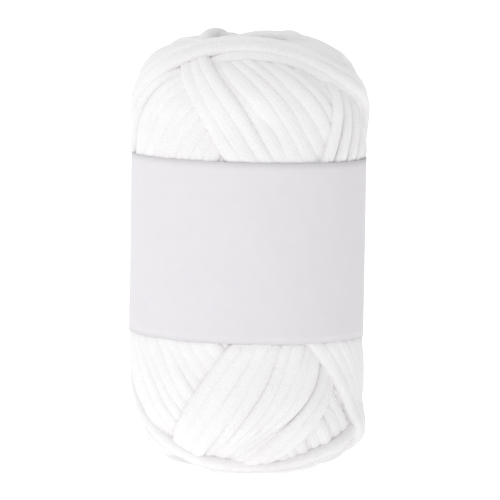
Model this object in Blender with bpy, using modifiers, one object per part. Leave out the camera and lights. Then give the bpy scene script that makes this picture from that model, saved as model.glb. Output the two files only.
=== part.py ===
# A ball of chunky tape yarn, wound round its own middle, standing on its end inside a wide paper band.
# The front of the ball faces -Y. An azimuth of 0 is the front, and azimuths grow towards +X.
import math

import bmesh
import bpy
import numpy as np
from mathutils.kdtree import KDTree

# Driving sizes, in metres
millimetre = 0.001
ball_radius = 0.0400
ball_height = 0.1482
corner_height = 0.0300
base_flat_radius = 0.0220
seat_radius = 0.0190
band_low = 0.0452
band_high = 0.1045
band_outer_radius = 0.0393
paper_thickness = 0.0010
clearance = 0.0003
band_slant = math.radians(0.45)
lap_angle = math.radians(16)
lap_ramp = math.radians(10)
strand_thickness = 0.0030
narrowest_strand = 0.0042
widest_strand = 0.0060
tuck_length = 0.0100
spread_of_tape = 1.15

# How the strands settle: nearer than reach, the lower one dives by up to press, and it bends gently.
# Neighbours in one swathe lie side by side until they are nearer than the shorter reach.
reach = 0.0044
swathe_reach = 0.0024
press = 0.0024
deepest_dive = 0.0060
bend = 20.0
bend_passes = 80

# How finely the shapes are worked out
walk_step = 0.0005
samples_apart = 2
ball_columns = 240
ball_rows = 170
ball_triangles = 10400
soften_passes = 1
flattened_below = 0.0004
band_columns = 120

# Each end: its tip, the way from there to the middle, its flat, its roundness, and where the strands
# leave the band and turn at the shoulder, as heights from the tip
ends = {
    "top": dict(tip=ball_height, way=-1, flat=0.0, power=2.4, edge=ball_height - band_high, shoulder=0.020),
    "foot": dict(tip=0.0, way=1, flat=base_flat_radius, power=2.1, edge=band_low, shoulder=0.018),
}

# Places where the wound form is drawn in, or swells where depth is below zero, with half widths in
# azimuth (degrees) and height
dents = [
    dict(azimuth=-90, height=0.020, half_angle=60, half_height=0.022, depth=0.0013),
    dict(azimuth=80, height=0.011, half_angle=65, half_height=0.014, depth=-0.0042),
]

# Swathes of strands in the order they are wound. Each has its azimuths at the band, its lean there, its
# curl at the shoulder, how far it misses the tip, and how far its outer side is sunk under the form.
# A pair runs from a swathe's first strand to its last. Angles are in degrees, miss and sunk in millimetres.
# Where far is given, it is the lean and the curl past the tip, which are otherwise the same as before it.
swathes = [
    dict(end="top", azimuth=(0, 65), count=9, lean=(-33, -33), curl=(-38, -38), miss=(-8, -24), sunk=2.2),
    dict(end="top", azimuth=(140, 205), count=9, lean=(-33, -33), curl=(-38, -38), miss=(-24, -8), sunk=2.2),
    dict(end="top", azimuth=(280, 345), count=9, lean=(-33, -33), curl=(-38, -38), miss=(-8, -24), sunk=2.2),
    dict(end="top", azimuth=(70, 135), count=9, lean=(-33, -33), curl=(-38, -38), miss=(-24, -8), sunk=2.2),
    dict(end="top", azimuth=(210, 275), count=9, lean=(-33, -33), curl=(-38, -38), miss=(-8, -24), sunk=2.2),
    dict(end="top", azimuth=(112, 175), count=9, lean=(-33, -25), curl=(-38, -38),
         miss=(-10, -20), sunk=1.2),
    dict(end="top", azimuth=(190, 236), count=7, lean=(30, 22), curl=(34, 30), miss=(14, 22), sunk=0.8),
    dict(end="top", azimuth=(230, 266), count=5, lean=(25, 25), curl=(45, 45), miss=(8, 18), sunk=1),
    dict(end="top", azimuth=(100, 140), count=6, lean=(28, 20), curl=(40, 40), miss=(12, 20), sunk=0.6),
    dict(end="top", azimuth=(64, 98), count=5, lean=(-24, -24), curl=(-42, -42), miss=(-10, -18), sunk=0.4),
    dict(end="top", azimuth=(-88, -13), count=11, lean=(24, 30), curl=(45, 45), miss=(17, 15), sunk=0.8),
    dict(end="top", azimuth=(16, 56), count=6, lean=(-30, -24), curl=(-40, -43),
         miss=(-15, -16.5), sunk=0.4),
    dict(end="top", azimuth=(42, 70), count=4, lean=(25, 18), curl=(2, 5),
         miss=(-14, -16), sunk=0.2,
         far=(-33, -38)),
    dict(end="top", azimuth=(-85, -85), count=1, lean=(18, 18), curl=(48, 48),
         miss=(29.5, 29.5), sunk=0.2,
         far=(18, 62)),
    dict(end="top", azimuth=(-7, 9), count=3, lean=(-34, -32), curl=(-34, -37), miss=(-13, -13.5), sunk=0.4),
    dict(end="top", azimuth=(-100, -92), count=2, lean=(18, 18), curl=(42, 46),
         miss=(22, 26.5), sunk=0,
         far=(18, 60)),
    dict(end="foot", azimuth=(0, 65), count=9, lean=(-33, -33), curl=(-36, -36), miss=(-8, -24), sunk=2.2),
    dict(end="foot", azimuth=(140, 205), count=9, lean=(-33, -33), curl=(-36, -36),
         miss=(-24, -8), sunk=2.2),
    dict(end="foot", azimuth=(280, 345), count=9, lean=(-33, -33), curl=(-36, -36),
         miss=(-8, -24), sunk=2.2),
    dict(end="foot", azimuth=(70, 135), count=9, lean=(-33, -33), curl=(-36, -36), miss=(-24, -8), sunk=2.2),
    dict(end="foot", azimuth=(210, 275), count=9, lean=(-33, -33), curl=(-36, -36),
         miss=(-8, -24), sunk=2.2),
    dict(end="foot", azimuth=(100, 164), count=9, lean=(-33, -25), curl=(-36, -36),
         miss=(-10, -20), sunk=1.2),
    dict(end="foot", azimuth=(186, 236), count=7, lean=(30, 22), curl=(34, 30), miss=(14, 22), sunk=0.8),
    dict(end="foot", azimuth=(244, 284), count=6, lean=(-30, -22), curl=(-38, -38),
         miss=(-10, -20), sunk=0.8),
    dict(end="foot", azimuth=(-92, -9), count=12, lean=(33, 33), curl=(33, 33), miss=(18, 14), sunk=0.8),
    dict(end="foot", azimuth=(-3, 15), count=4, lean=(-39, -20), curl=(-33, -36),
         miss=(-16, -16), sunk=0.4,
         far=(-30, -36)),
    dict(end="foot", azimuth=(21, 43), count=5, lean=(-14, -8), curl=(-36, -43),
         miss=(-16, -16), sunk=0.4,
         far=(-30, -36)),
    dict(end="foot", azimuth=(48, 54), count=2, lean=(-12, -12), curl=(-40, -38), miss=(-16, -16), sunk=0.2),
    dict(end="foot", azimuth=(-113, -101), count=3, lean=(20, 20), curl=(55, 52),
         miss=(22, 27), sunk=0.4,
         far=(12, 66)),
    dict(end="foot", azimuth=(36, 78), count=6, lean=(44, 32), curl=(40, 30),
         miss=(18, 18), sunk=0.2,
         far=(0, 15)),
]


def smooth_step(value):
    value = np.clip(value, 0.0, 1.0)
    return value * value * (3.0 - 2.0 * value)


def meridian(end):
    # The form's outline from a tip to mid-height, as distances along it, radii and heights.
    shape = ends[end]
    turn = np.linspace(0.0, math.pi / 2, 400)
    corner_radius = shape["flat"] + (ball_radius - shape["flat"]) * np.sin(turn) ** (2 / shape["power"])
    corner_rise = corner_height * (1.0 - np.cos(turn) ** (2 / shape["power"]))
    radius = np.concatenate([corner_radius, [ball_radius]])
    rise = np.concatenate([corner_rise, [ball_height / 2]])
    if shape["flat"] > 0.0:
        radius = np.concatenate([[0.0], radius])
        rise = np.concatenate([[0.0], rise])
    along = np.concatenate([[0.0], np.cumsum(np.hypot(np.diff(radius), np.diff(rise)))])
    even = np.append(np.arange(0.0, along[-1], walk_step / 2), along[-1])
    return even, np.interp(even, along, radius), np.interp(even, along, rise)


meridians = {end: meridian(end) for end in ends}


def distance_at(end, rise):
    # How far along the outline a height from the tip lies.
    along, _, rises = meridians[end]
    return float(np.interp(rise, rises, along))


def place(end, distance, azimuth):
    # Points on the form and the directions that face outward there.
    along, radii, rises = meridians[end]
    radius = np.interp(distance, along, radii)
    rise = np.interp(distance, along, rises)
    out = np.interp(distance, along, np.gradient(rises, along))
    up = -ends[end]["way"] * np.interp(distance, along, np.gradient(radii, along))
    length = np.hypot(out, up)
    sine, cosine = np.sin(azimuth), np.cos(azimuth)
    height = ends[end]["tip"] + ends[end]["way"] * rise
    points = np.stack([radius * sine, -radius * cosine, height], axis=-1)
    normals = np.stack([out * sine, -out * cosine, up], axis=-1) / length[..., None]
    return points, normals


def dent_depth(points):
    # How far the form is drawn in at each point.
    azimuth = np.degrees(np.arctan2(points[..., 0], -points[..., 1]))
    depth = np.zeros(points.shape[:-1])
    for dent in dents:
        turn = np.abs((azimuth - dent["azimuth"] + 180.0) % 360.0 - 180.0) / dent["half_angle"]
        lift = np.abs(points[..., 2] - dent["height"]) / dent["half_height"]
        depth += dent["depth"] * smooth_step(1.0 - turn) * smooth_step(1.0 - lift)
    return depth


def walk_swathe(row):
    # Each strand's distances along the outline and azimuths, from under the band, over the end and back.
    end = row["end"]
    along, radii, _ = meridians[end]
    slope = np.gradient(radii, along)
    count = row["count"]
    share = np.linspace(0.0, 1.0, count)

    def spread(name):
        first, last = row[name]
        return first + (last - first) * share

    at_edge = distance_at(end, ends[end]["edge"])
    at_shoulder = distance_at(end, ends[end]["shoulder"])
    lean = np.radians(spread("lean"))
    curl = np.radians(spread("curl"))
    far_lean, far_curl = np.radians(row["far"]) if "far" in row else (lean, curl)
    grip_tip = spread("miss") * millimetre
    at_cap = np.minimum(np.abs(grip_tip) + 0.006, at_shoulder - 0.004)

    def grip(distance, is_far):
        # The radius times the sine of the lean, which a slipping strand would keep all its way.
        grip_edge = ball_radius * np.sin(np.where(is_far, far_lean, lean))
        grip_shoulder = ball_radius * np.sin(np.where(is_far, far_curl, curl))
        low = smooth_step((at_edge - distance) / (at_edge - at_shoulder))
        high = smooth_step((at_shoulder - distance) / (at_shoulder - at_cap))
        return (grip_edge * (1 - low) + grip_shoulder * low) * (1 - high) + grip_tip * high

    def rates(distance, heading):
        radius = np.interp(distance, along, radii)
        is_far = np.abs(heading) > math.pi / 2
        gain = (grip(distance + 0.00005, is_far) - grip(distance - 0.00005, is_far)) / 0.0001
        turn = (np.interp(distance, along, slope) * np.sin(heading) - gain) / radius
        return -np.cos(heading), np.sin(heading) / radius, turn

    distance = np.full(count, at_edge)
    azimuth = np.radians(spread("azimuth"))
    heading = lean.copy()
    distances, azimuths = [], []
    for back in np.arange(tuck_length, 0.0, -walk_step):
        distances.append(distance + back)
        azimuths.append(azimuth - back * np.tan(lean) / ball_radius)
    longest_walk = 2.5 * at_edge + math.pi * ball_radius
    for _ in range(int(longest_walk / walk_step)):
        distances.append(distance)
        azimuths.append(azimuth)
        start = rates(distance, heading)
        half = rates(distance + start[0] * walk_step / 2, heading + start[2] * walk_step / 2)
        distance = distance + half[0] * walk_step
        azimuth = azimuth + half[1] * walk_step
        heading = heading + half[2] * walk_step
    distances, azimuths = np.array(distances), np.array(azimuths)
    strands = []
    for index in range(count):
        path = distances[:, index]
        nearest = int(np.argmin(path[:len(path) // 2]))
        home = np.flatnonzero(path[nearest:] > at_edge + tuck_length)
        stop = nearest + (home[0] if len(home) else len(path) - nearest)
        keep = slice(0, stop, samples_apart)
        strands.append(dict(row=row, distance=path[keep], azimuth=azimuths[keep, index]))
    gap = abs(row["azimuth"][1] - row["azimuth"][0]) / max(count - 1, 1)
    spacing = math.radians(gap) * ball_radius * float(np.cos(lean).mean())
    for strand in strands:
        strand["width"] = float(np.clip(spread_of_tape * spacing, narrowest_strand, widest_strand))
    return strands


def settle(strands):
    # Each strand's depth under the form: the last one wound lies on top, and the others dive under it.
    apart = walk_step * samples_apart
    upper_points = np.zeros((0, 3))
    upper_depths = np.zeros(0)
    upper_rows = np.zeros(0, dtype=int)
    for strand in reversed(strands):
        row = strand["row"]
        points, _ = place(row["end"], strand["distance"], strand["azimuth"])
        depth = np.full(len(points), row["sunk"] * millimetre)
        reaches = np.where(upper_rows == swathes.index(row), swathe_reach, reach)
        for first in range(0, len(points), 50):
            part = slice(first, first + 50)
            away = ((points[part, None, :] - upper_points[None, :, :]) ** 2).sum(axis=-1) / reaches ** 2
            dive = upper_depths[None, :] + press * np.sqrt(np.clip(1.0 - away, 0.0, 1.0))
            dive = np.where(away < 1.0, dive, 0.0)
            depth[part] = np.maximum(depth[part], dive.max(axis=1, initial=0.0))
        depth = deepest_dive * (1.0 - np.exp(-depth / deepest_dive))
        for _ in range(bend_passes):
            level = (depth[:-2] + depth[2:]) / 2 - bend * apart ** 2 / 2
            depth[1:-1] = np.maximum(depth[1:-1], level)
        strand["points"] = points
        strand["depth"] = depth
        upper_points = np.concatenate([upper_points, points])
        upper_depths = np.concatenate([upper_depths, depth])
        upper_rows = np.concatenate([upper_rows, np.full(len(points), swathes.index(row))])


def wind_strands():
    # All the strands of both ends, settled against each other.
    wound = []
    for end in ends:
        strands = [strand for row in swathes if row["end"] == end for strand in walk_swathe(row)]
        settle(strands)
        wound += strands
    return wound


def crease_depths(points, strands):
    # How far the wound surface lies under the form at each point, where the nearest strands decide it.
    samples = [(point, depth, strand["width"] / 2)
               for strand in strands
               for point, depth in zip(strand["points"], strand["depth"])]
    tree = KDTree(len(samples))
    for index, sample in enumerate(samples):
        tree.insert(sample[0], index)
    tree.balance()
    depths = np.full(len(points), deepest_dive)
    for spot, point in enumerate(points):
        lowest = deepest_dive
        for _, index, away in tree.find_range(point, widest_strand / 2):
            _, depth, half_width = samples[index]
            across = away / half_width
            if across < 1.0:
                rounding = strand_thickness / 2 * (1.0 - math.sqrt(1.0 - across * across))
                lowest = min(lowest, depth + rounding)
        depths[spot] = lowest
    return depths


def limit_radius(height):
    # The band holds the yarn in, and the yarn swells out again just past the band's edges.
    outside = np.maximum(np.maximum(band_low - height, height - band_high), 0.0)
    held = band_outer_radius - paper_thickness - clearance
    return held + 0.9 * np.maximum(outside - 0.0006, 0.0)


def link_object(name, mesh, group, material):
    thing = bpy.data.objects.new(name, mesh)
    group.objects.link(thing)
    mesh.materials.append(material)
    return thing


def make_material(name, colour, roughness):
    material = bpy.data.materials.new(name)
    material.use_nodes = True
    shader = material.node_tree.nodes["Principled BSDF"]
    shader.inputs["Base Color"].default_value = (*colour, 1.0)
    shader.inputs["Roughness"].default_value = roughness
    shader.inputs["Metallic"].default_value = 0.0
    return material


def make_ball(group):
    # The wound form with each strand raised on it, pressed in by the band and flat where it stands.
    shape = bmesh.new()
    bmesh.ops.create_uvsphere(shape, u_segments=ball_columns, v_segments=ball_rows, radius=1.0)
    unit = np.array([vertex.co for vertex in shape.verts])
    azimuth = np.arctan2(unit[:, 0], -unit[:, 1])
    fraction = np.arccos(np.clip(unit[:, 2], -1.0, 1.0)) / math.pi
    top_length = meridians["top"][0][-1]
    foot_length = meridians["foot"][0][-1]
    travel = fraction * (top_length + foot_length)
    is_top = travel < top_length
    points = np.zeros_like(unit)
    normals = np.zeros_like(unit)
    points[is_top], normals[is_top] = place("top", travel[is_top], azimuth[is_top])
    from_foot = (top_length + foot_length - travel)[~is_top]
    points[~is_top], normals[~is_top] = place("foot", from_foot, azimuth[~is_top])

    depth = crease_depths(points, wind_strands()) + dent_depth(points)
    seat = smooth_step((np.hypot(points[:, 0], points[:, 1]) - seat_radius) / 0.005)
    depth = np.where(points[:, 2] < 0.0005, depth * seat, depth)
    points = points - normals * depth[:, None]
    radius = np.maximum(np.hypot(points[:, 0], points[:, 1]), 1e-6)
    held = limit_radius(points[:, 2])
    under_band = (points[:, 2] > band_low) & (points[:, 2] < band_high)
    pressed = np.where(under_band, held, np.minimum(radius, held))
    points[:, :2] *= (pressed / radius)[:, None]
    points[:, 2] = np.maximum(points[:, 2], 0.0)
    for vertex, point in zip(shape.verts, points):
        vertex.co = point
    for _ in range(soften_passes):
        bmesh.ops.smooth_vert(shape, verts=shape.verts, factor=0.5,
                              use_axis_x=True, use_axis_y=True, use_axis_z=True)
    for vertex in shape.verts:
        if vertex.co.z < flattened_below:
            vertex.co.z = 0.0
    mesh = bpy.data.meshes.new("yarn_ball")
    shape.to_mesh(mesh)
    shape.free()
    mesh.shade_smooth()
    ball = link_object("yarn_ball", mesh, group, make_material("cotton_yarn", (0.88, 0.87, 0.87), 0.9))
    triangles = 2 * ball_columns * (ball_rows - 1)
    decimate = ball.modifiers.new("thin_out", "DECIMATE")
    decimate.ratio = ball_triangles / triangles
    return ball


def make_band(group):
    # A strip of paper wrapped once round, its outer end lapped over its inner end at the back.
    strip = bmesh.new()
    bmesh.ops.create_grid(strip, x_segments=band_columns, y_segments=1, size=1.0)
    half_turn = math.pi + lap_angle / 2
    middle_radius = band_outer_radius - paper_thickness / 2
    for vertex in strip.verts:
        azimuth = vertex.co.x * half_turn
        lift = float(smooth_step((azimuth - math.pi + lap_angle / 2 + lap_ramp) / lap_ramp))
        radius = middle_radius + lift * (paper_thickness + clearance)
        side = radius * math.sin(azimuth)
        height = (band_low + band_high) / 2 + vertex.co.y * (band_high - band_low) / 2
        vertex.co = (side, -radius * math.cos(azimuth), height - side * math.tan(band_slant))
    mesh = bpy.data.meshes.new("label_band")
    strip.to_mesh(mesh)
    strip.free()
    band = link_object("label_band", mesh, group, make_material("band_paper", (0.72, 0.70, 0.72), 0.6))
    thicken = band.modifiers.new("paper", "SOLIDIFY")
    thicken.thickness = paper_thickness
    thicken.offset = 0.0
    thicken.use_even_offset = True
    return band


def stand_on_origin(things):
    # Puts the middle of the whole footprint over the origin.
    spread = np.array([vertex.co[:2] for thing in things for vertex in thing.data.vertices])
    middle = (spread.min(axis=0) + spread.max(axis=0)) / 2
    for thing in things:
        thing.location = (-middle[0], -middle[1], 0.0)


def main():
    for thing in list(bpy.data.objects):
        bpy.data.objects.remove(thing, do_unlink=True)
    group = bpy.data.collections.new("crochet_yarn")
    bpy.context.scene.collection.children.link(group)
    stand_on_origin([make_ball(group), make_band(group)])


main()
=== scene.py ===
import math

import bmesh
import bpy
import numpy as np
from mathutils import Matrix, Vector


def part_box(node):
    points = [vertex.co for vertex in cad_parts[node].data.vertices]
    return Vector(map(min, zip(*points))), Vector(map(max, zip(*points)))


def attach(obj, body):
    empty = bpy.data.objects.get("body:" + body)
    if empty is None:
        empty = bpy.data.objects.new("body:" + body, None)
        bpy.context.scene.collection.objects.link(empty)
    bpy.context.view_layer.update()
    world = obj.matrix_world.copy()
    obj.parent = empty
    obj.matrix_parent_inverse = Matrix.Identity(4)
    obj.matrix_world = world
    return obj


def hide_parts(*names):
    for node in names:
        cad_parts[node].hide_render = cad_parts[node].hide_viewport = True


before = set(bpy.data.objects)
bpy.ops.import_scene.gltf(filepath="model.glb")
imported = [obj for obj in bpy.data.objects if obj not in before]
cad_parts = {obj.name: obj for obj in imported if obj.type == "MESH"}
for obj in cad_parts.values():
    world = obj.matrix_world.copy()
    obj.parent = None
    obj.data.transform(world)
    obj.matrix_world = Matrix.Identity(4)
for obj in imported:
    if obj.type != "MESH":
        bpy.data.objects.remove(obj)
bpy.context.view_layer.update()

mm = 0.001


# camera: the view that the photo was taken from, with a long lens
cameraView = {
    "target": (0.5 * mm, 0.0, 72.4 * mm),
    "distance": 1.4,
    "elevation": 5.4,
    "roll": 1.0,
    "lens": 301.0,
}


def addCamera():
    view = cameraView
    rise = math.radians(view["elevation"])
    target = Vector(view["target"])
    camera = bpy.data.objects.new("camera", bpy.data.cameras.new("camera"))
    bpy.context.scene.collection.objects.link(camera)
    camera.location = target + Vector((0.0, -math.cos(rise), math.sin(rise))) * view["distance"]
    camera.rotation_euler = (math.pi / 2 - rise, 0.0, 0.0)
    camera.rotation_euler.rotate_axis("Z", math.radians(view["roll"]))
    camera.data.lens = view["lens"]
    camera.data.sensor_width = 36.0
    camera.data.clip_start = 0.05
    bpy.context.scene.camera = camera


# the wound form: the same sizes and swathes as the solid, in millimetres and degrees
bandLow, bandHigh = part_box("label_band")
ballLow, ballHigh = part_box("yarn_ball")
form = {
    "radius": 40.0,
    "height": 148.2,
    "corner": 30.0,
    "bandLow": 45.2,
    "bandHigh": 104.5,
    "bandRadius": 39.3,
    "paper": 0.35,
    "tuck": 10.0,
    "step": 0.5,
    "keepEvery": 3,
}
axisX = (bandLow[0] + bandHigh[0]) / 2          # the ball's own axis in the frame
axisY = bandLow[1] + form["bandRadius"] * mm
ends = {
    "top": {"tip": form["height"], "way": -1, "flat": 0.0, "power": 2.4,
            "edge": form["height"] - form["bandHigh"], "shoulder": 20.0},
    "foot": {"tip": 0.0, "way": 1, "flat": 22.0, "power": 2.1, "edge": form["bandLow"], "shoulder": 18.0},
}
dents = [
    {"azimuth": -90, "height": 20.0, "halfAngle": 60, "halfHeight": 22.0, "depth": 1.3},
    {"azimuth": 80, "height": 11.0, "halfAngle": 65, "halfHeight": 14.0, "depth": -4.2},   # a swelling
]
lay = {
    "reach": 4.4,          # nearer than this, the strand below dives
    "swatheReach": 2.4,    # neighbours in one swathe lie side by side
    "press": 2.4,
    "deepest": 6.0,
    "bend": 0.02,
    "passes": 80,
}
# swathe: piece, end, azimuths at the band, strands, lean there, curl at the shoulder, miss of the tip, sunk,
# and its lean and curl past the tip where they are not the same
swatheColumns = ("piece", "end", "azimuth", "count", "lean", "curl", "miss", "sunk", "far")
swatheRows = [
    ("innerTop", "top", (0, 65), 9, (-33, -33), (-38, -38), (-8, -24), 2.2),
    ("innerTop", "top", (140, 205), 9, (-33, -33), (-38, -38), (-24, -8), 2.2),
    ("innerTop", "top", (280, 345), 9, (-33, -33), (-38, -38), (-8, -24), 2.2),
    ("innerTop", "top", (70, 135), 9, (-33, -33), (-38, -38), (-24, -8), 2.2),
    ("innerTop", "top", (210, 275), 9, (-33, -33), (-38, -38), (-8, -24), 2.2),
    ("backTop", "top", (112, 175), 9, (-33, -25), (-38, -38), (-10, -20), 1.2),
    ("backTop", "top", (190, 236), 7, (30, 22), (34, 30), (14, 22), 0.8),
    ("backTop", "top", (230, 266), 5, (25, 25), (45, 45), (8, 18), 1.0),
    ("rightTop", "top", (100, 140), 6, (28, 20), (40, 40), (12, 20), 0.6),
    ("rightTop", "top", (64, 98), 5, (-24, -24), (-42, -42), (-10, -18), 0.4),
    ("leftTop", "top", (-88, -13), 11, (24, 30), (45, 45), (17, 15), 0.8),
    ("frontTop", "top", (16, 56), 6, (-30, -24), (-40, -43), (-15, -16.5), 0.4),
    ("rightTop", "top", (42, 70), 4, (25, 18), (2, 5), (-14, -16), 0.2, (-33, -38)),
    ("crownTop", "top", (-85, -85), 1, (18, 18), (48, 48), (29.5, 29.5), 0.2, (18, 62)),
    ("frontTop", "top", (-7, 9), 3, (-34, -32), (-34, -37), (-13, -13.5), 0.4),
    ("crownTop", "top", (-100, -92), 2, (18, 18), (42, 46), (22, 26.5), 0.0, (18, 60)),
    ("innerFoot", "foot", (0, 65), 9, (-33, -33), (-36, -36), (-8, -24), 2.2),
    ("innerFoot", "foot", (140, 205), 9, (-33, -33), (-36, -36), (-24, -8), 2.2),
    ("innerFoot", "foot", (280, 345), 9, (-33, -33), (-36, -36), (-8, -24), 2.2),
    ("innerFoot", "foot", (70, 135), 9, (-33, -33), (-36, -36), (-24, -8), 2.2),
    ("innerFoot", "foot", (210, 275), 9, (-33, -33), (-36, -36), (-8, -24), 2.2),
    ("backFoot", "foot", (100, 164), 9, (-33, -25), (-36, -36), (-10, -20), 1.2),
    ("backFoot", "foot", (186, 236), 7, (30, 22), (34, 30), (14, 22), 0.8),
    ("backFoot", "foot", (244, 284), 6, (-30, -22), (-38, -38), (-10, -20), 0.8),
    ("leftFoot", "foot", (-92, -9), 12, (33, 33), (33, 33), (18, 14), 0.8),
    ("frontFoot", "foot", (-3, 15), 4, (-39, -20), (-33, -36), (-16, -16), 0.4, (-30, -36)),
    ("frontFoot", "foot", (21, 43), 5, (-14, -8), (-36, -43), (-16, -16), 0.4, (-30, -36)),
    ("frontFoot", "foot", (48, 54), 2, (-12, -12), (-40, -38), (-16, -16), 0.2),
    ("rimFoot", "foot", (-113, -101), 3, (20, 20), (55, 52), (22, 27), 0.4, (12, 66)),
    ("rightFoot", "foot", (36, 78), 6, (44, 32), (40, 30), (18, 18), 0.2, (0, 15)),
]
swathes = [dict(zip(swatheColumns, row)) for row in swatheRows]


def smoothStep(value):
    value = np.clip(value, 0.0, 1.0)
    return value * value * (3.0 - 2.0 * value)


def meridian(end):
    # the form's outline from a tip to mid-height: distance along it, radius, rise from the tip
    shape = ends[end]
    turn = np.linspace(0.0, math.pi / 2, 400)
    radius = shape["flat"] + (form["radius"] - shape["flat"]) * np.sin(turn) ** (2 / shape["power"])
    rise = form["corner"] * (1.0 - np.cos(turn) ** (2 / shape["power"]))
    radius = np.append(radius, form["radius"])
    rise = np.append(rise, form["height"] / 2)
    if shape["flat"] > 0.0:
        radius = np.insert(radius, 0, 0.0)
        rise = np.insert(rise, 0, 0.0)
    along = np.concatenate([[0.0], np.cumsum(np.hypot(np.diff(radius), np.diff(rise)))])
    even = np.append(np.arange(0.0, along[-1], form["step"] / 2), along[-1])
    return even, np.interp(even, along, radius), np.interp(even, along, rise)


meridians = {end: meridian(end) for end in ends}


def placeOnForm(end, distance, azimuth):
    # points on the form, and the directions that face outward there
    along, radii, rises = meridians[end]
    radius = np.interp(distance, along, radii)
    rise = np.interp(distance, along, rises)
    out = np.interp(distance, along, np.gradient(rises, along))
    up = -ends[end]["way"] * np.interp(distance, along, np.gradient(radii, along))
    length = np.hypot(out, up)
    sine, cosine = np.sin(azimuth), np.cos(azimuth)
    height = ends[end]["tip"] + ends[end]["way"] * rise
    points = np.stack([radius * sine, -radius * cosine, height], axis=-1)
    normals = np.stack([out * sine, -out * cosine, up], axis=-1) / length[..., None]
    return points, normals


def dentDepth(points):
    azimuth = np.degrees(np.arctan2(points[..., 0], -points[..., 1]))
    depth = np.zeros(points.shape[:-1])
    for dent in dents:
        turn = np.abs((azimuth - dent["azimuth"] + 180.0) % 360.0 - 180.0) / dent["halfAngle"]
        lift = np.abs(points[..., 2] - dent["height"]) / dent["halfHeight"]
        depth += dent["depth"] * smoothStep(1.0 - turn) * smoothStep(1.0 - lift)
    return depth


def walkSwathe(row):
    # each strand from under the band, over the end and back: distances along the outline, azimuths
    end, count = row["end"], row["count"]
    along, radii, rises = meridians[end]
    slope = np.gradient(radii, along)
    share = np.linspace(0.0, 1.0, count)
    step = form["step"]

    def spread(name):
        first, last = row[name]
        return first + (last - first) * share

    atEdge = float(np.interp(ends[end]["edge"], rises, along))
    atShoulder = float(np.interp(ends[end]["shoulder"], rises, along))
    lean, curl = np.radians(spread("lean")), np.radians(spread("curl"))
    farLean, farCurl = np.radians(row["far"]) if "far" in row else (lean, curl)
    gripTip = spread("miss")
    atCap = np.minimum(np.abs(gripTip) + 6.0, atShoulder - 4.0)

    def grip(distance, isFar):
        # radius times the sine of the lean, which a slipping strand would keep all its way
        gripEdge = form["radius"] * np.sin(np.where(isFar, farLean, lean))
        gripShoulder = form["radius"] * np.sin(np.where(isFar, farCurl, curl))
        low = smoothStep((atEdge - distance) / (atEdge - atShoulder))
        high = smoothStep((atShoulder - distance) / (atShoulder - atCap))
        return (gripEdge * (1 - low) + gripShoulder * low) * (1 - high) + gripTip * high

    def rates(distance, heading):
        radius = np.interp(distance, along, radii)
        isFar = np.abs(heading) > math.pi / 2
        gain = (grip(distance + 0.05, isFar) - grip(distance - 0.05, isFar)) / 0.1
        turn = (np.interp(distance, along, slope) * np.sin(heading) - gain) / radius
        return -np.cos(heading), np.sin(heading) / radius, turn

    distance = np.full(count, atEdge)
    azimuth = np.radians(spread("azimuth"))
    heading = lean.copy()
    distances, azimuths = [], []
    for back in np.arange(form["tuck"], 0.0, -step):
        distances.append(distance + back)
        azimuths.append(azimuth - back * np.tan(lean) / form["radius"])
    for _ in range(int((2.5 * atEdge + math.pi * form["radius"]) / step)):
        distances.append(distance)
        azimuths.append(azimuth)
        start = rates(distance, heading)
        half = rates(distance + start[0] * step / 2, heading + start[2] * step / 2)
        distance = distance + half[0] * step
        azimuth = azimuth + half[1] * step
        heading = heading + half[2] * step
    distances, azimuths = np.array(distances), np.array(azimuths)
    strands = []
    for index in range(count):
        path = distances[:, index]
        nearest = int(np.argmin(path[:len(path) // 2]))
        home = np.flatnonzero(path[nearest:] > atEdge + form["tuck"])
        stop = nearest + (home[0] if len(home) else len(path) - nearest)
        keep = slice(0, stop, form["keepEvery"])
        strands.append({"row": row, "distance": path[keep], "azimuth": azimuths[keep, index]})
    return strands


def shiftStrands(strands, random):
    # no strand lies quite true: each wanders a little to the side
    for strand in strands:
        count = len(strand["distance"])
        phase = random.uniform(0.0, math.tau, 3)
        size = random.uniform(0.05, 0.16, 3)
        travel = np.linspace(0.0, math.tau, count)
        wander = sum(size[wave] * np.sin((wave + 1.3) * travel + phase[wave]) for wave in range(3))
        strand["azimuth"] = strand["azimuth"] + wander / form["radius"]


def settleStrands(strands):
    # the last strand wound lies on top, and the others dive under it
    apart = form["step"] * form["keepEvery"]
    upperPoints = np.zeros((0, 3))
    upperDepths = np.zeros(0)
    upperRows = np.zeros(0, dtype=int)
    for strand in reversed(strands):
        row = strand["row"]
        points, normals = placeOnForm(row["end"], strand["distance"], strand["azimuth"])
        depth = np.full(len(points), row["sunk"])
        reach = np.where(upperRows == swathes.index(row), lay["swatheReach"], lay["reach"])
        for first in range(0, len(points), 50):
            part = slice(first, first + 50)
            away = ((points[part, None, :] - upperPoints[None, :, :]) ** 2).sum(axis=-1) / reach ** 2
            dive = upperDepths[None, :] + lay["press"] * np.sqrt(np.clip(1.0 - away, 0.0, 1.0))
            dive = np.where(away < 1.0, dive, 0.0)
            depth[part] = np.maximum(depth[part], dive.max(axis=1, initial=0.0))
        depth = lay["deepest"] * (1.0 - np.exp(-depth / lay["deepest"]))
        for _ in range(lay["passes"]):
            level = (depth[:-2] + depth[2:]) / 2 - lay["bend"] * apart ** 2 / 2
            depth[1:-1] = np.maximum(depth[1:-1], level)
        strand["points"], strand["normals"], strand["depth"] = points, normals, depth
        upperPoints = np.concatenate([upperPoints, points])
        upperDepths = np.concatenate([upperDepths, depth])
        upperRows = np.concatenate([upperRows, np.full(len(points), swathes.index(row))])


def windStrands():
    random = np.random.default_rng(5)
    wound = []
    for end in ends:
        strands = [strand for row in swathes if row["end"] == end for strand in walkSwathe(row)]
        shiftStrands(strands, random)
        settleStrands(strands)
        wound += strands
    return wound


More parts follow.
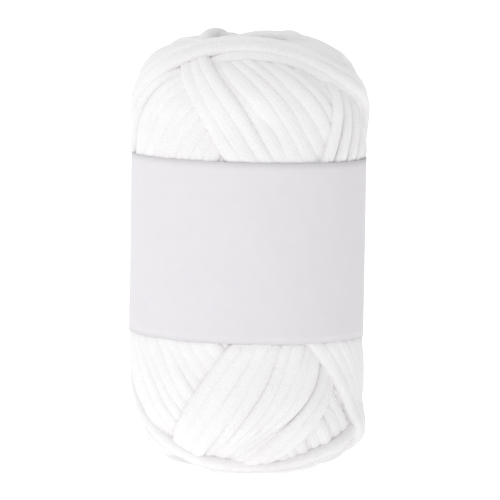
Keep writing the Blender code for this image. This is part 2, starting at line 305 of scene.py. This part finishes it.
# materials
def hexToLinear(code):
    channels = [int(code[start:start + 2], 16) / 255 for start in (0, 2, 4)]
    return [value / 12.92 if value <= 0.04045 else ((value + 0.055) / 1.055) ** 2.4 for value in channels]


def addNode(tree, kind, settings=None, **links):
    # a node with its settings, and its sockets linked or given values by name or by number
    node = tree.nodes.new(kind)
    for name, value in (settings or {}).items():
        setattr(node, name, value)
    for name, value in links.items():
        socket = node.inputs[int(name[1:])] if name[0] == "i" and name[1:].isdigit() else node.inputs[name]
        if isinstance(value, bpy.types.NodeSocket):
            tree.links.new(value, socket)
        else:
            socket.default_value = value
    return node


def mathNode(tree, operation, first, second=0.0):
    return addNode(tree, "ShaderNodeMath", {"operation": operation}, i0=first, i1=second).outputs[0]


tapeLook = {
    "colour": "F0EFEF",
    "shade": "E6E4E6",
    "roughness": 0.92,
    "wales": 14,            # rows of stitches round the knitted tape, 0.95 mm each
    "course": 1.25,         # mm from one stitch to the next
    "slant": 0.9,
    "stitchDepth": 0.00014,
}


def makeTapeYarn():
    # brushed cotton knitted into a narrow tube: matt and soft, with faint rows of stitches along it
    look = tapeLook
    material = bpy.data.materials.new("knittedCottonTape")
    material.use_nodes = True
    tree = material.node_tree
    shader = tree.nodes["Principled BSDF"]
    place = addNode(tree, "ShaderNodeUVMap", {"uv_map": "alongTape"}).outputs[0]
    split = addNode(tree, "ShaderNodeSeparateXYZ", None, Vector=place)
    along, around = split.outputs[0], split.outputs[1]
    wale = mathNode(tree, "FRACT", mathNode(tree, "MULTIPLY", around, look["wales"]))
    fromMiddle = mathNode(tree, "ABSOLUTE", mathNode(tree, "SUBTRACT", wale, 0.5))
    course = mathNode(tree, "DIVIDE", along, look["course"])
    slanted = mathNode(tree, "ADD", course, mathNode(tree, "MULTIPLY", fromMiddle, look["slant"]))
    legs = mathNode(tree, "SINE", mathNode(tree, "MULTIPLY", slanted, math.tau))
    rib = mathNode(tree, "COSINE", mathNode(tree, "MULTIPLY", fromMiddle, math.pi))
    stitch = mathNode(tree, "ADD", mathNode(tree, "MULTIPLY", legs, 0.25), mathNode(tree, "MULTIPLY", rib, 0.5))
    coordinates = addNode(tree, "ShaderNodeTexCoord").outputs["Object"]
    fuzz = addNode(tree, "ShaderNodeTexNoise", None, Vector=coordinates, Scale=2600.0, Detail=3.0).outputs[0]
    height = mathNode(tree, "ADD", stitch, mathNode(tree, "MULTIPLY", fuzz, 0.9))
    bump = addNode(tree, "ShaderNodeBump", None, Strength=0.8, Distance=look["stitchDepth"], Height=height)
    patches = addNode(tree, "ShaderNodeTexNoise", None, Vector=coordinates, Scale=90.0, Detail=2.0).outputs[0]
    tone = addNode(tree, "ShaderNodeMix", {"data_type": "RGBA"}, Factor=patches)
    tone.inputs[6].default_value = (*hexToLinear(look["colour"]), 1.0)
    tone.inputs[7].default_value = (*hexToLinear(look["shade"]), 1.0)
    tree.links.new(tone.outputs[2], shader.inputs["Base Color"])
    tree.links.new(bump.outputs[0], shader.inputs["Normal"])
    shader.inputs["Roughness"].default_value = look["roughness"]
    shader.inputs["Sheen Weight"].default_value = 0.4
    shader.inputs["Sheen Roughness"].default_value = 0.5
    shader.inputs["Specular IOR Level"].default_value = 0.2
    return material


paperLook = {
    "colour": "DDDBDE",
    "shade": "D8D6DA",
    "roughness": 0.62,
    "fibre": 0.00002,
}


def makeBandPaper():
    # smooth uncoated paper: matt, with a faint cloud of fibres
    look = paperLook
    material = bpy.data.materials.new("uncoatedPaper")
    material.use_nodes = True
    tree = material.node_tree
    shader = tree.nodes["Principled BSDF"]
    coordinates = addNode(tree, "ShaderNodeTexCoord").outputs["Object"]
    cloud = addNode(tree, "ShaderNodeTexNoise", None, Vector=coordinates, Scale=220.0, Detail=4.0).outputs[0]
    fibres = addNode(tree, "ShaderNodeTexNoise", None, Vector=coordinates, Scale=1500.0, Detail=4.0).outputs[0]
    tone = addNode(tree, "ShaderNodeMix", {"data_type": "RGBA"}, Factor=cloud)
    tone.inputs[6].default_value = (*hexToLinear(look["colour"]), 1.0)
    tone.inputs[7].default_value = (*hexToLinear(look["shade"]), 1.0)
    bump = addNode(tree, "ShaderNodeBump", None, Strength=0.5, Distance=look["fibre"], Height=fibres)
    tree.links.new(tone.outputs[2], shader.inputs["Base Color"])
    tree.links.new(bump.outputs[0], shader.inputs["Normal"])
    shader.inputs["Roughness"].default_value = look["roughness"]
    shader.inputs["Specular IOR Level"].default_value = 0.35
    return material


def finishPiece(name, bm, material, nodes):
    # the piece's mesh in the frame's metres, riding on the one body
    mesh = bpy.data.meshes.new(name)
    bm.to_mesh(mesh)
    bm.free()
    mesh.materials.append(material)
    mesh.shade_smooth()
    piece = bpy.data.objects.new(name, mesh)
    bpy.context.scene.collection.objects.link(piece)
    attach(piece, "root")
    for node in nodes:
        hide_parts(node)
    return piece


# the yarn's tape, laid along each strand's way
tape = {
    "freeHalf": 2.6,        # half the width of a strand with nothing beside it
    "leastHalf": 1.9,
    "overlap": 0.75,        # half width as a share of the way to the next strand, which it is squeezed against
    "parted": 5.8,          # strands further apart than this leave a gap
    "section": 22.0,        # width times thickness, in square mm
    "thinnest": 3.2,
    "thickest": 4.2,
    "sides": 14,
    "roundness": 2.3,
    "roll": 0.15,           # radians that the tape tips to either side on its way
    "lift": 0.22,           # mm that it rises and sinks
}


def heldRadius(height):
    # the band holds the yarn in, and the yarn swells out again past the band's edges
    outside = np.maximum(np.maximum(form["bandLow"] - height, height - form["bandHigh"]), 0.0)
    return form["bandRadius"] - form["paper"] - 0.3 + 0.9 * np.maximum(outside - 0.4, 0.0)


def squeezeStrands(strands):
    # how far each strand reaches to either side: pressed against its neighbours, or round where it is free
    for strand in strands:
        across = np.cross(np.gradient(strand["points"], axis=0), strand["normals"])
        strand["across"] = across / np.linalg.norm(across, axis=1)[:, None]
        strand["halves"] = np.full((len(across), 2), tape["freeHalf"])
    pairs = list(zip(strands[:-1], strands[1:]))
    for strand, other in pairs + [(second, first) for first, second in pairs]:
        gap = other["points"][None] - strand["points"][:, None]
        away = np.linalg.norm(gap, axis=2)
        row = np.arange(len(away))
        nearest = away.argmin(axis=1)
        distance = away[row, nearest]
        side = ((gap[row, nearest] * strand["across"]).sum(axis=1) < 0).astype(int)
        half = np.minimum(tape["overlap"] * distance, tape["freeHalf"] + np.clip(tape["parted"] - distance, 0.0, None))
        strand["halves"][row, side] = np.maximum(half, tape["leastHalf"])


def smoothAlong(values, passes):
    for _ in range(passes):
        values[1:-1] = (values[:-2] + 2 * values[1:-1] + values[2:]) / 4
    return values


def addTape(bm, uvLayer, strand, random):
    # one strand: a grid of points rolled into a flattened tube along the strand's way
    normals = strand["normals"]
    halves = smoothAlong(strand["halves"].copy(), 12)
    thickness = np.clip(tape["section"] / halves.sum(axis=1), tape["thinnest"], tape["thickest"])
    count = len(halves)
    travel = np.linspace(0.0, 1.0, count)
    ripple = np.sin(travel * random.uniform(20, 40) + random.uniform(0, 6))
    halves = halves * (1.0 + 0.035 * ripple)[:, None]
    wave = np.sin(travel * random.uniform(12, 26) + random.uniform(0, 6))
    depth = strand["depth"] + dentDepth(strand["points"]) + tape["lift"] * (1.0 + wave)
    centre = strand["points"] - normals * (depth + thickness / 2)[:, None]
    forward = np.gradient(centre, axis=0)
    forward /= np.linalg.norm(forward, axis=1)[:, None]
    across = np.cross(forward, normals)
    across /= np.linalg.norm(across, axis=1)[:, None]
    outward = np.cross(across, forward)
    roll = tape["roll"] * np.sin(travel * random.uniform(8, 22) + random.uniform(0, 6))[:, None]
    across, outward = (across * np.cos(roll) + outward * np.sin(roll),
                       outward * np.cos(roll) - across * np.sin(roll))
    length = np.concatenate([[0.0], np.cumsum(np.linalg.norm(np.diff(centre, axis=0), axis=1))])
    sides = tape["sides"]
    power = 2.0 / tape["roundness"]
    turn = np.linspace(0.0, math.tau, sides + 1)
    flat = np.sign(np.cos(turn)) * np.abs(np.cos(turn)) ** power
    high = np.sign(np.sin(turn)) * np.abs(np.sin(turn)) ** power
    reach = np.where(flat[None, :] > 0.0, halves[:, :1], halves[:, 1:]) * flat[None, :]
    ring = (centre[:, None, :]
            + across[:, None, :] * reach[:, :, None]
            + outward[:, None, :] * (thickness / 2)[:, None, None] * high[None, :, None])
    radius = np.maximum(np.hypot(ring[..., 0], ring[..., 1]), 0.001)
    held = heldRadius(ring[..., 2])
    ring[..., :2] *= np.minimum(1.0, held / radius)[..., None]
    ring[..., 2] = np.maximum(ring[..., 2], 0.0)
    ring = ring * mm + np.array([axisX, axisY, 0.0])

    made = bmesh.ops.create_grid(bm, x_segments=count - 1, y_segments=sides, size=1.0)["verts"]
    for vertex in made:
        row = round((vertex.co.x + 1.0) / 2.0 * (count - 1))
        side = round((vertex.co.y + 1.0) / 2.0 * sides)
        vertex.co = ring[row, side]
        vertex.index = row * (sides + 1) + side
    faces = {face for vertex in made for face in vertex.link_faces}
    for face in faces:
        for loop in face.loops:
            row, side = divmod(loop.vert.index, sides + 1)
            loop[uvLayer].uv = (length[row], side / sides)
    rims = [vertex for vertex in made if vertex.index % (sides + 1) in (0, sides)]
    bmesh.ops.remove_doubles(bm, verts=rims, dist=1e-7)


def makeYarn(material):
    random = np.random.default_rng(11)
    wound = windStrands()
    print("strands wound:", len(wound))
    for row in swathes:
        squeezeStrands([strand for strand in wound if strand["row"] is row])
    for name in dict.fromkeys(row["piece"] for row in swathes):
        bm = bmesh.new()
        uvLayer = bm.loops.layers.uv.new("alongTape")
        for strand in wound:
            if strand["row"]["piece"] == name:
                addTape(bm, uvLayer, strand, random)
        openEdges = [edge for edge in bm.edges if edge.is_boundary]
        bmesh.ops.holes_fill(bm, edges=openEdges, sides=0)
        bmesh.ops.recalc_face_normals(bm, faces=bm.faces)
        piece = finishPiece(name, bm, material, ["yarn_ball"])
        print("yarn piece", name, "faces", len(piece.data.polygons))


core = {
    "depth": 5.6,
    "underBand": 35.0,
    "columns": 96,
    "rows": 72,
    "groove": 0.5,
}


def makeCore(material):
    # the inner turns that show as dark gaps between the outer strands
    bm = bmesh.new()
    uvLayer = bm.loops.layers.uv.new("alongTape")
    bmesh.ops.create_uvsphere(bm, u_segments=core["columns"], v_segments=core["rows"], radius=1.0)
    topLength, footLength = meridians["top"][0][-1], meridians["foot"][0][-1]
    for vertex in bm.verts:
        azimuth = np.array([math.atan2(vertex.co.x, -vertex.co.y)])
        travel = math.acos(max(-1.0, min(1.0, vertex.co.z))) / math.pi * (topLength + footLength)
        if travel < topLength:
            points, normals = placeOnForm("top", np.array([travel]), azimuth)
        else:
            points, normals = placeOnForm("foot", np.array([topLength + footLength - travel]), azimuth)
        height = points[0][2]
        inside = smoothStep(min(height - form["bandLow"], form["bandHigh"] - height) / 6.0 + 0.5)
        turns = core["groove"] * math.sin(height * 1.3 + 9.0 * azimuth[0])
        depth = core["depth"] + turns + dentDepth(points)[0]
        point = points[0] - normals[0] * depth
        radius = max(math.hypot(point[0], point[1]), 0.001)
        limit = form["radius"] * (1 - inside) + core["underBand"] * inside
        point[:2] *= min(1.0, limit / radius)
        vertex.co = point * mm + np.array([axisX, axisY, 0.0])
    for face in bm.faces:
        for loop in face.loops:
            loop[uvLayer].uv = (loop.vert.co.z / mm, math.atan2(loop.vert.co.x, -loop.vert.co.y))
    finishPiece("woundCore", bm, material, ["yarn_ball"])


# the paper band round the middle
band = {
    "columns": 240,
    "rows": 24,
    "slant": 0.45,          # degrees: it sits a little lower on the right
    "lap": 16.0,            # degrees of overlap at the back
    "ramp": 6.0,
    "waviness": 0.12,       # mm that the paper follows the strands under it
}


def makeBand(material):
    bm = bmesh.new()
    bmesh.ops.create_grid(bm, x_segments=band["columns"], y_segments=band["rows"], size=1.0)
    halfTurn = math.pi + math.radians(band["lap"]) / 2
    lap, ramp = math.radians(band["lap"]), math.radians(band["ramp"])
    middle = form["bandRadius"] - form["paper"] / 2
    for vertex in bm.verts:
        azimuth, up = vertex.co.x * halfTurn, vertex.co.y
        lift = float(smoothStep((azimuth - math.pi + lap / 2 + ramp) / ramp))
        swell = math.sin(7 * azimuth + 1.2) * math.sin(3 * up + 0.4) + 0.6 * math.sin(13 * azimuth + 4 * up)
        radius = middle + lift * (form["paper"] + 0.15) + band["waviness"] * swell * (0.4 + 0.6 * up * up)
        side = radius * math.sin(azimuth)
        height = (form["bandLow"] + form["bandHigh"]) / 2 + up * (form["bandHigh"] - form["bandLow"]) / 2
        height -= side * math.tan(math.radians(band["slant"]))
        vertex.co = Vector((side, -radius * math.cos(azimuth), height)) * mm + Vector((axisX, axisY, 0.0))
    piece = finishPiece("paperBand", bm, material, ["label_band"])
    thicken = piece.modifiers.new("paper", "SOLIDIFY")
    thicken.thickness = form["paper"] * mm
    thicken.offset = 0.0


# floor and light
studio = {
    "floor": "FBFBFB",
    "floorSize": 12.0,
    "floorGlow": 0.4,        # lit from below like a light table, so the shadow stays pale
    "world": 1.02,
    "shadedSide": 0.56,      # the room's light on the right of the object, as a share of the rest
    "key": {"place": (-0.6, -0.9, 0.8), "size": 0.6, "power": 0.53},
}


def addLight(name, place, size, power):
    light = bpy.data.objects.new(name, bpy.data.lights.new(name, "AREA"))
    bpy.context.scene.collection.objects.link(light)
    light.data.size = size
    light.data.energy = power
    light.location = place
    aim = Vector((0.0, 0.0, 0.07)) - Vector(place)
    light.rotation_euler = aim.to_track_quat("-Z", "Y").to_euler()


def makeStudio():
    bm = bmesh.new()
    bmesh.ops.create_grid(bm, x_segments=1, y_segments=1, size=studio["floorSize"] / 2)
    mesh = bpy.data.meshes.new("floor")
    bm.to_mesh(mesh)
    bm.free()
    floor = bpy.data.objects.new("floor", mesh)
    bpy.context.scene.collection.objects.link(floor)
    material = bpy.data.materials.new("paleStudioFloor")
    material.use_nodes = True
    shader = material.node_tree.nodes["Principled BSDF"]
    shader.inputs["Base Color"].default_value = (*hexToLinear(studio["floor"]), 1.0)
    shader.inputs["Roughness"].default_value = 0.9
    shader.inputs["Emission Color"].default_value = (1.0, 1.0, 1.0, 1.0)
    shader.inputs["Emission Strength"].default_value = studio["floorGlow"]
    mesh.materials.append(material)
    addLight("key", **studio["key"])
    world = bpy.data.worlds.new("studio")
    world.use_nodes = True
    tree = world.node_tree
    heading = addNode(tree, "ShaderNodeTexCoord").outputs["Generated"]
    side = addNode(tree, "ShaderNodeSeparateXYZ", None, Vector=heading).outputs[0]
    strength = addNode(tree, "ShaderNodeMapRange", {"interpolation_type": "SMOOTHSTEP"}, i0=side,
                       i1=0.15, i2=0.75, i3=studio["world"], i4=studio["world"] * studio["shadedSide"])
    background = tree.nodes["Background"]
    background.inputs[0].default_value = (1.0, 1.0, 1.0, 1.0)
    tree.links.new(strength.outputs[0], background.inputs[1])
    bpy.context.scene.world = world
    bpy.context.scene.view_settings.view_transform = "Standard"


addCamera()
tapeYarn = makeTapeYarn()
makeYarn(tapeYarn)
makeCore(tapeYarn)
makeBand(makeBandPaper())
makeStudio()
print("studio ready")
